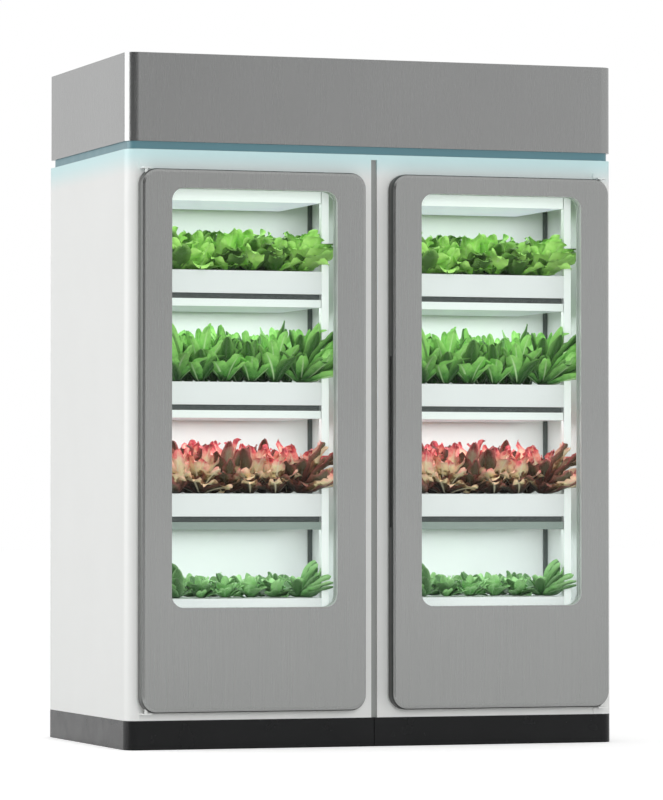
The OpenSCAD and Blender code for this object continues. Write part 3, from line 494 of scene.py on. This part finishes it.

# Each crop's leaf skin, named as its slot: colours from the stalk to the tip, whose dark stops at the stalk end are
# partly the leaf's own colour and partly painted shade of the crowded crown, colour and share of the midrib, colour
# of the margin, and colour and share of the dark leaves, which are partly a darker leaf colour and partly painted
# shade in the gaps between leaves, with the range of a leaf's own draw that they set in over.
SKINS = {
    "leaf_lettuce": dict(
        name="lettuce_leaf", rib=(0.70, 0.97, 0.44), rib_share=0.5, margin=(0.44, 0.80, 0.20),
        dark=(0.014, 0.085, 0.003), dark_share=0.90, dark_draw=(0.60, 0.70),
        stops=[(0.05, (0.010, 0.065, 0.004)), (0.18, (0.26, 0.62, 0.08)), (0.42, (0.60, 1.0, 0.25)),
               (0.76, (0.44, 0.86, 0.18)), (1.0, (0.16, 0.42, 0.05))]),
    "romaine": dict(
        name="romaine_leaf", rib=(0.70, 0.92, 0.52), rib_share=0.85, margin=(0.34, 0.70, 0.18),
        dark=(0.010, 0.065, 0.008), dark_share=0.88, dark_draw=(0.48, 0.64),
        stops=[(0.06, (0.005, 0.035, 0.004)), (0.28, (0.075, 0.27, 0.045)), (0.62, (0.29, 0.68, 0.15)),
               (0.84, (0.36, 0.76, 0.19)), (1.0, (0.20, 0.50, 0.10))]),
    "red_lettuce": dict(
        name="red_leaf", rib=(0.98, 0.90, 0.66), rib_share=0.85, margin=(0.74, 0.16, 0.16),
        dark=(0.034, 0.020, 0.006), dark_share=0.90, dark_draw=(0.62, 0.70),
        stops=[(0.06, (0.016, 0.010, 0.005)), (0.34, (0.060, 0.036, 0.015)), (0.44, (0.22, 0.15, 0.050)),
               (0.53, (0.98, 0.84, 0.48)), (0.68, (1.0, 0.70, 0.49)), (0.82, (0.94, 0.28, 0.25)),
               (0.91, (0.62, 0.050, 0.080)), (1.0, (0.26, 0.020, 0.034))]),
    "seedlings": dict(
        name="seedling_leaf", rib=(0.46, 0.70, 0.40), rib_share=0.35, margin=(0.38, 0.66, 0.30),
        dark=(0.014, 0.085, 0.012), dark_share=0.80, dark_draw=(0.52, 0.66),
        stops=[(0.08, (0.005, 0.040, 0.006)), (0.26, (0.095, 0.32, 0.070)), (0.60, (0.33, 0.64, 0.24)),
               (1.0, (0.46, 0.74, 0.35))]),
}
BLOTCH_SCALE, BLOTCH = 45.0, 0.14
RIB_WIDTH, RIB_FADE, RIB_TIP = 0.22, 0.55, 0.1
MARGIN_FROM, MARGIN_SHARE = 0.45, 0.6
VEINS, VEIN_SLANT, VEIN_HEIGHT = 60.0, -9.0, 0.35
BLISTER_SCALE, RELIEF, RELIEF_SHARE = 260.0, 0.0009, 0.7
LEAF_ROUGH, LEAF_SPECULAR = 0.45, 0.3


def leaf_look(name, stops, rib, rib_share, margin, dark, dark_share, dark_draw):
    """Leaf skin: colours from the stalk to the tip, dark at the stalk partly as painted shade, a pale midrib, side
    veins, and some leaves dark, partly as painted shade between leaves.
    """
    look = Look(name)
    data = look.add("Attribute", attribute_name="leaf")
    split = look.add("SeparateXYZ")
    look.join(data.outputs["Vector"], split.inputs["Vector"])
    along, across, draw = (split.outputs[k] for k in "XYZ")
    # The ramp's dark stalk end is partly painted shade of the crowded crown
    colour = look.ramp(look.math("ADD", along, look.vary(BLOTCH_SCALE, -BLOTCH, BLOTCH)), stops)
    midrib = look.span(across, 0.0, RIB_WIDTH, rib_share, 0.0, smooth=True)
    midrib = look.math("MULTIPLY", midrib, look.span(along, RIB_FADE, 1.0, 1.0, RIB_TIP))
    colour = look.mix(midrib, colour, rib)
    # Dark leaves: partly a darker leaf colour, partly painted shade in the gaps between leaves
    colour = look.mix(look.span(draw, *dark_draw, 0.0, dark_share), colour, dark)
    edge = look.math("MULTIPLY", look.span(across, MARGIN_FROM, 1.0, 0.0, MARGIN_SHARE), along)
    look.feed("Base Color", look.mix(edge, colour, margin))
    veins = look.math("ADD", look.math("MULTIPLY", along, VEINS), look.math("MULTIPLY", across, VEIN_SLANT))
    veins = look.math("MULTIPLY", look.math("SINE", veins), VEIN_HEIGHT)
    look.bump(look.math("ADD", veins, look.noise(BLISTER_SCALE)), RELIEF, RELIEF_SHARE)
    look.set(Roughness=LEAF_ROUGH, Specular_IOR_Level=LEAF_SPECULAR)
    return look.mat


SPONGE = plain("root_sponge", (0.16, 0.11, 0.07), 0.9, mottle=0.3, scale=120.0, grain=500.0, depth=0.0008).mat
LEAVES = {crop: leaf_look(**skin) for crop, skin in SKINS.items()}


class CropMesh:
    """Vertices, faces and leaf data of one crop, gathered leaf by leaf."""

    def __init__(self):
        self.points, self.faces, self.leaf, self.slot, self.rim = [], [], [], [], []

    def point(self, at, along, across, draw, rim=False):
        self.points.append(at)
        self.leaf.append((along, across, draw))
        self.rim.append(rim)
        return len(self.points) - 1

    def face(self, corners, slot):
        self.faces.append(corners)
        self.slot.append(slot)


def leaf_width(t, stalk, tip):
    """Width along a leaf, from a narrow stalk to a broad blade with a round tip."""
    blade = stalk + (1 - stalk) * math.sin(min(1.0, t * BLADE_RISE) * math.pi / 2) ** BLADE_EASE
    return blade * (1 - t ** tip) ** 0.5 if t < 1 else TIP_WIDTH


def keep_clear(p, bay_x, rim):
    """Holds a leaf point above the tray's rim, inside the uprights and behind the pane."""
    p.z = max(p.z, rim + LEAF_CLEAR)
    side = p.x - bay_x
    widest = POST_IN if p.y > POST_FRONT else SPILL_OUT
    if abs(side) > widest:
        p.x = bay_x + math.copysign(widest, side)
    p.y = max(p.y, GLASS_BACK)
    return p


def add_leaf(crop, root, bay_x, rim, turn, length, width, lean, bend, form, rng, mesh, reach, curl=0.0):
    """One leaf: a spine that leans and bends away from the root, and a cupped, ruffled blade on it."""
    rows, cols = mesh
    radial = Vector((math.cos(turn), math.sin(turn), 0.0))
    tangent = Vector((-math.sin(turn), math.cos(turn), 0.0))
    up = Vector((0.0, 0.0, 1.0))
    phase, draw = rng.uniform(0, WHOLE_TURN), rng.random()
    sway, roll = curl + rng.uniform(-SWAY, SWAY), rng.uniform(-ROLL, ROLL)
    steps = [math.sin(math.pi / 2 * i / (rows - 1)) for i in range(rows)]
    top, under = {}, {}
    p, last = root.copy(), 0.0
    for i, t in enumerate(steps):
        angle = lean + bend * t ** BEND_EASE
        way = radial * math.sin(angle) + up * math.cos(angle) + tangent * sway * t * math.sin(angle)
        p = p + way * length * (t - last)
        last = t
        normal = up * math.sin(angle) - radial * math.cos(angle)
        across = tangent * math.cos(roll) + normal * math.sin(roll)
        half = width / 2 * leaf_width(t, form["stalk"], form["tip"])
        for j in range(cols):
            u = 2 * j / (cols - 1) - 1
            wave = math.sin(2 * math.pi * form["waves"] * t + phase + (HALF_PHASE if u > 0 else 0.0))
            lift = form["cup"] * half * u * u + form["ruffle"] * wave * u * u * t
            at = keep_clear(p + across * (u * half) + normal * lift, bay_x, rim)
            inner = 0 < i < rows - 1 and 0 < j < cols - 1
            leaf = (t * reach, abs(u), draw)
            top[i, j] = crop.point(at, *leaf, not inner)
            under[i, j] = crop.point(at - normal * LEAF_THICK, *leaf) if inner else top[i, j]
    for i in range(rows - 1):
        for j in range(cols - 1):
            crop.face((top[i, j], top[i, j + 1], top[i + 1, j + 1], top[i + 1, j]), 0)
            crop.face((under[i + 1, j], under[i + 1, j + 1], under[i, j + 1], under[i, j]), 0)


# A plug's outline from its underside to its top: radius as a share of PLUG_R, and height from the rim
PLUG_RINGS = ((0.0, -PLUG_BELOW_RIM), (0.9, -PLUG_BELOW_RIM), (1.0, -PLUG_BELOW_RIM + 0.002),
              (1.0, -0.006), (0.93, -0.004), (0.0, -0.003))
NO_LEAF = (0.0, 0.0, 0.5)


def add_plug(crop, x, y, rim):
    """The sponge that holds the roots in a planting cup."""
    rows = []
    for share, z in PLUG_RINGS:
        r = PLUG_R * share
        turns = [math.tau * k / PLUG_SIDES for k in range(PLUG_SIDES if r else 1)]
        ring = [Vector((x + r * math.cos(a), y + r * math.sin(a), rim + z)) for a in turns]
        rows.append([crop.point(at, *NO_LEAF) for at in ring])
    for low, high in zip(rows, rows[1:]):
        for k in range(PLUG_SIDES):
            a, b = low[k % len(low)], low[(k + 1) % len(low)]
            c, d = high[(k + 1) % len(high)], high[k % len(high)]
            crop.face(tuple(dict.fromkeys((a, b, c, d))), 1)


def add_plant(crop, x, y, bay_x, rim, form, rng, front):
    """A rosette: upright inner leaves and leaning outer ones, turned by the golden angle."""
    count = form["leaves"][0 if front else 1]
    mesh = FRONT_MESH if front else BACK_MESH
    size = rng.uniform(*PLANT_SIZE)
    first = rng.uniform(0, WHOLE_TURN)
    for k in range(count):
        f = k / (count - 1)
        length, width, lean, bend = (form[key][0] + (form[key][1] - form[key][0]) * f
                                     for key in ("length", "width", "lean", "bend"))
        turn = first + k * GOLDEN + rng.uniform(-TURN_SHAKE, TURN_SHAKE)
        root = Vector((x + ROOT_DEPTH * math.cos(turn), y + ROOT_DEPTH * math.sin(turn), rim - ROOT_DEPTH))
        add_leaf(crop, root, bay_x, rim, turn, length * size * rng.uniform(*LENGTH_DRAW),
                 width * rng.uniform(*WIDTH_DRAW), math.radians(lean * rng.uniform(*LEAN_DRAW)),
                 math.radians(bend * rng.uniform(*BEND_DRAW)), form, rng, mesh, 1.0 - (1.0 - form["low"]) * f)


def add_spill(crop, x, y, bay_x, rim, form, rng, out):
    """Leaves of an end plant that pass in front of the upright and turn outward and up, low and high in turn."""
    for k in range(SPILL_LEAVES):
        f = k / (SPILL_LEAVES - 1)
        lean = SPILL_HIGH if k % 2 else SPILL_LOW
        bearing = out * (SPILL_FIRST + SPILL_FAN * f)
        turn = math.radians(-90 + bearing + rng.uniform(-SPILL_SHAKE, SPILL_SHAKE))
        root = Vector((x, y, rim - ROOT_DEPTH))
        add_leaf(crop, root, bay_x, rim, turn, form["spill"] * rng.uniform(*SPILL_LENGTH),
                 form["width"][1] * rng.uniform(*SPILL_WIDTH), math.radians(rng.uniform(*lean)),
                 math.radians(rng.uniform(*SPILL_BEND)), form, rng, FRONT_MESH,
                 rng.uniform(form["low"], 1.0), out * rng.uniform(*SPILL_CURL))


def grow(name, form, seed):
    """One crop: a plant in each cup of its tier, the same in both bays."""
    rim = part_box(name)[0].z + PLUG_BELOW_RIM
    board_low, board_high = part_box("planting_boards")
    mid_y = (board_low.y + board_high.y) / 2
    crop = CropMesh()
    for bay_x in BAYS.values():
        rng = random.Random(seed)
        for row in range(CUPS_Y):
            for col in range(CUPS_X):
                x = bay_x + (col - (CUPS_X - 1) / 2) * CUP_PITCH_X
                y = mid_y + (row - (CUPS_Y - 1) / 2) * CUP_PITCH_Y
                add_plug(crop, x, y, rim)
                add_plant(crop, x, y, bay_x, rim, form, rng, row == 0)
                if row == 0 and col in (0, CUPS_X - 1):
                    add_spill(crop, x, y, bay_x, rim, form, rng, 1 if col else -1)
    mesh = bpy.data.meshes.new(name + "_plants")
    mesh.from_pydata([tuple(p) for p in crop.points], [], crop.faces)
    data = mesh.attributes.new("leaf", "FLOAT_VECTOR", "POINT")
    data.data.foreach_set("vector", [v for triple in crop.leaf for v in triple])
    sharp = mesh.attributes.new("sharp_edge", "BOOLEAN", "EDGE")
    ends = (edge.vertices for edge in mesh.edges)
    sharp.data.foreach_set("value", [crop.rim[a] and crop.rim[b] for a, b in ends])
    mesh.materials.append(LEAVES[name])
    mesh.materials.append(SPONGE)
    for polygon, slot in zip(mesh.polygons, crop.slot):
        polygon.material_index = slot
        polygon.use_smooth = True
    plants = add_object(name + "_plants", mesh)
    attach(plants, "cabinet")
    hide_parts(name)


for seed, (name, form) in enumerate(CROPS.items(), FIRST_SEED):
    grow(name, form, seed)

# ---------------------------------------------------------------- dark strips as painted shade: under the trays and in the rear corners

# Each gap where a dark strip stands for the shade, as painted shade: top of the lamp and underside of the tray
SHADE_STRIP_GAPS = ((0.652, 0.668), (0.975, 0.991), (1.298, 1.314))
SHADE_STRIP_INSET, SHADE_STRIP_D, SHADE_STRIP_SHORT, SHADE_STRIP_EDGE = 0.012, 0.012, 0.002, 0.002
# Width, depth and edge of the dark corner strips of painted shade
CORNER_SHADE_W, CORNER_SHADE_D, CORNER_SHADE_EDGE = 0.014, 0.006, 0.0015
LINER = 0.004


def add_bar(bm, low, high, edge):
    """A bar with rounded edges."""
    bar = bmesh.ops.create_cube(bm, size=1.0)["verts"]
    for v in bar:
        v.co = Vector(low[i] if v.co[i] < 0 else high[i] for i in range(3))
    edges = list({e for v in bar for e in v.link_edges})
    bmesh.ops.bevel(bm, geom=edges, offset=edge, segments=3, profile=0.5, affect="EDGES")


def add_trim(name, bars, edge, look):
    """A piece made of bars, which rides on the cabinet."""
    bm = bmesh.new()
    for low, high in bars:
        add_bar(bm, low, high, edge)
    mesh = bpy.data.meshes.new(name)
    bm.to_mesh(mesh)
    bm.free()
    mesh.materials.append(look.mat)
    trim = add_object(name, mesh)
    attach(trim, "cabinet")


def gap_shade_strips():
    """A dark strip in the gap between each tray and the lamp under it, as painted shade."""
    low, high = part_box("trays")
    half = high.x - BAYS["right"] - SHADE_STRIP_SHORT
    y = low.y + SHADE_STRIP_INSET
    bars = [((bay_x - half, y, lamp_top), (bay_x + half, y + SHADE_STRIP_D, tray_z))
            for bay_x in BAYS.values() for lamp_top, tray_z in SHADE_STRIP_GAPS]
    add_trim("gap_shade_strips", bars, SHADE_STRIP_EDGE, plain("gap_shade_strip", (0.095, 0.105, 0.103), 0.9, mottle=0.25,
                                                   scale=160.0, grain=1400.0, depth=0.0006))


def corner_shade_strips():
    """Dark strips down the rear corners of the growing chambers, as painted shade in the corners."""
    wall_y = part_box("chamber_back_walls")[0].y
    floor_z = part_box("chamber_floors")[1].z
    ceiling_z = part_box("chamber_ceilings")[0].z
    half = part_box("chamber_side_walls")[1].x - LINER - BAYS["right"]
    bars = []
    for bay_x in BAYS.values():
        for side in (-1, 1):
            x0, x1 = sorted((bay_x + side * half, bay_x + side * (half - CORNER_SHADE_W)))
            bars.append(((x0, wall_y - CORNER_SHADE_D, floor_z), (x1, wall_y, ceiling_z)))
    add_trim("corner_shade_strips", bars, CORNER_SHADE_EDGE, plain("corner_shade_strip", (0.085, 0.100, 0.095), 0.7, mottle=0.15,
                                                    scale=60.0, grain=900.0))


gap_shade_strips()
corner_shade_strips()

# ---------------------------------------------------------------- studio

DOME_LEVEL = 0.66
FLOOR_HALF, FLOOR_LIFT, FLOOR_WHITE = 60.0, 0.42, (0.90, 0.90, 0.90)
SHOWN_TO = ("Is Camera Ray", "Is Glossy Ray", "Is Transmission Ray")


def shown(tree):
    """1 for the rays that see the background itself, 0 for those that carry its light."""
    path = tree.nodes.new("ShaderNodeLightPath")
    level = path.outputs[SHOWN_TO[0]]
    for name in SHOWN_TO[1:]:
        join = tree.nodes.new("ShaderNodeMath")
        join.operation = "MAXIMUM"
        tree.links.new(level, join.inputs[0])
        tree.links.new(path.outputs[name], join.inputs[1])
        level = join.outputs["Value"]
    return level


def make_world():
    """A white dome, which lights less than it shows."""
    world = bpy.data.worlds.new("studio_dome")
    scene.world = world
    world.use_nodes = True
    tree = world.node_tree
    tree.nodes.clear()
    out = tree.nodes.new("ShaderNodeOutputWorld")
    back = tree.nodes.new("ShaderNodeBackground")
    back.inputs["Color"].default_value = (*BRIGHT, 1.0)
    span = tree.nodes.new("ShaderNodeMapRange")
    span.inputs["To Min"].default_value = DOME_LEVEL
    span.inputs["To Max"].default_value = 1.0
    tree.links.new(shown(tree), span.inputs["Value"])
    tree.links.new(span.outputs["Result"], back.inputs["Strength"])
    tree.links.new(back.outputs["Background"], out.inputs["Surface"])


def make_floor():
    mesh = bpy.data.meshes.new("floor")
    corners = [(FLOOR_HALF * x, FLOOR_HALF * y, 0) for x, y in ((-1, -1), (1, -1), (1, 1), (-1, 1))]
    mesh.from_pydata(corners, [], [(0, 1, 2, 3)])
    floor = add_object("floor", mesh)
    look = plain("floor_white", FLOOR_WHITE, 0.9, mottle=0.0, depth=0.0)
    look.feed("Emission Strength", look.math("MULTIPLY", shown(look.tree), FLOOR_LIFT))
    look.set(Emission_Color=BRIGHT, Specular_IOR_Level=0.0)
    mesh.materials.append(look.mat)


# Brightness of the studio wall in front of the cabinet, by bearing in degrees from -X towards -Y
WALL = [(14, 1.0), (21, 0.0), (85, 0.0), (94, 0.32), (102, 0.65), (110, 0.86), (118, 1.0), (150, 1.0)]
WALL_R, WALL_H, WALL_STEPS = 34.0, 15.9, 56


def make_wall():
    """A wall, dim in its middle, which only reflections and bounced light see."""
    first, last = WALL[0][0], WALL[-1][0]
    points = []
    for i in range(WALL_STEPS + 1):
        a = math.radians(first + (last - first) * i / WALL_STEPS)
        points += [(-WALL_R * math.cos(a), -WALL_R * math.sin(a), z) for z in (0.0, WALL_H)]
    faces = [(2 * i, 2 * i + 2, 2 * i + 3, 2 * i + 1) for i in range(WALL_STEPS)]
    mesh = bpy.data.meshes.new("studio_wall")
    mesh.from_pydata(points, [], faces)
    wall = add_object("studio_wall", mesh)
    look = Look("studio_wall")
    look.tree.nodes.remove(look.bsdf)
    back = [look.math("MULTIPLY", look.axis(letter), -1.0) for letter in "YX"]
    along = look.span(look.math("ARCTAN2", *back), math.radians(first), math.radians(last))
    stops = [((bearing - first) / (last - first), (v, v, v)) for bearing, v in WALL]
    glow = look.add("Emission")
    look.join(look.ramp(along, stops), glow.inputs["Color"])
    look.join(glow.outputs["Emission"], look.out.inputs["Surface"])
    mesh.materials.append(look.mat)
    wall.visible_camera = False


def area_light(name, at, target, width, height, level, colour=BRIGHT):
    """A soft box whose surface has the given brightness."""
    data = bpy.data.lights.new(name, "AREA")
    data.shape = "RECTANGLE"
    data.size, data.size_y = width, height
    data.energy = level * math.pi * width * height
    data.color = colour
    light = add_object(name, data)
    light.location = at
    light.rotation_euler = (Vector(target) - Vector(at)).to_track_quat("-Z", "Y").to_euler()
    light.visible_camera = False
    return light


# Studio lights: place, target, width, height, brightness, and the rays that don't see it
STUDIO = {
    "left_softbox": ((-5.2, 0.4, 1.7), (0.0, 0.0, 1.0), 3.2, 3.2, 1.88, "visible_glossy"),
    "left_strip": ((-5.4, 1.0, 1.8), (0.0, 0.0, 1.8), 5.8, 5.0, 3.1, "visible_diffuse"),
    "front_fill": ((-1.6, -10.5, 2.4), (0.0, 0.0, 1.0), 4.0, 3.0, 9.2, "visible_glossy"),
}

# The grow lamps, from the lowest: height of the lens and share of the full level
LAMPS = ((0.630, 0.84), (0.953, 1.0), (1.276, 1.10), (1.580, 0.66))
LAMP_LEVEL, LAMP_COLOUR = 2.0, (0.965, 0.975, 1.0)
LAMP_W, LAMP_DEPTH_SHARE, LAMP_BELOW = 0.56, 0.97, 0.001
WINDOW_LEVEL, WINDOW_W, WINDOW_H = 0.47, 0.54, 1.24
WINDOW_Y, WINDOW_Z = -0.390, 1.0


def light_studio():
    """Each studio light, hidden from one kind of ray."""
    for name, (*light, hidden) in STUDIO.items():
        setattr(area_light(name, *light), hidden, False)


def light_tiers():
    """The grow lamps' own light, one panel under each lens, and the light that a shut door throws back."""
    low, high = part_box("lamp_lenses")
    mid_y, depth = (low.y + high.y) / 2, high.y - low.y
    for bay, x in BAYS.items():
        for tier, (z, share) in enumerate(LAMPS, 1):
            area_light(f"{bay}_lamp_{tier}", (x, mid_y, z - LAMP_BELOW), (x, mid_y, 0.0), LAMP_W,
                       depth * LAMP_DEPTH_SHARE, LAMP_LEVEL * share, LAMP_COLOUR)
        glow = area_light(f"{bay}_window_glow", (x, WINDOW_Y, WINDOW_Z), (x, 0.0, WINDOW_Z), WINDOW_W, WINDOW_H,
                          WINDOW_LEVEL)
        glow.visible_glossy = False
        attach(glow, bay + "_door")


make_world()
make_floor()
make_wall()
light_studio()
light_tiers()
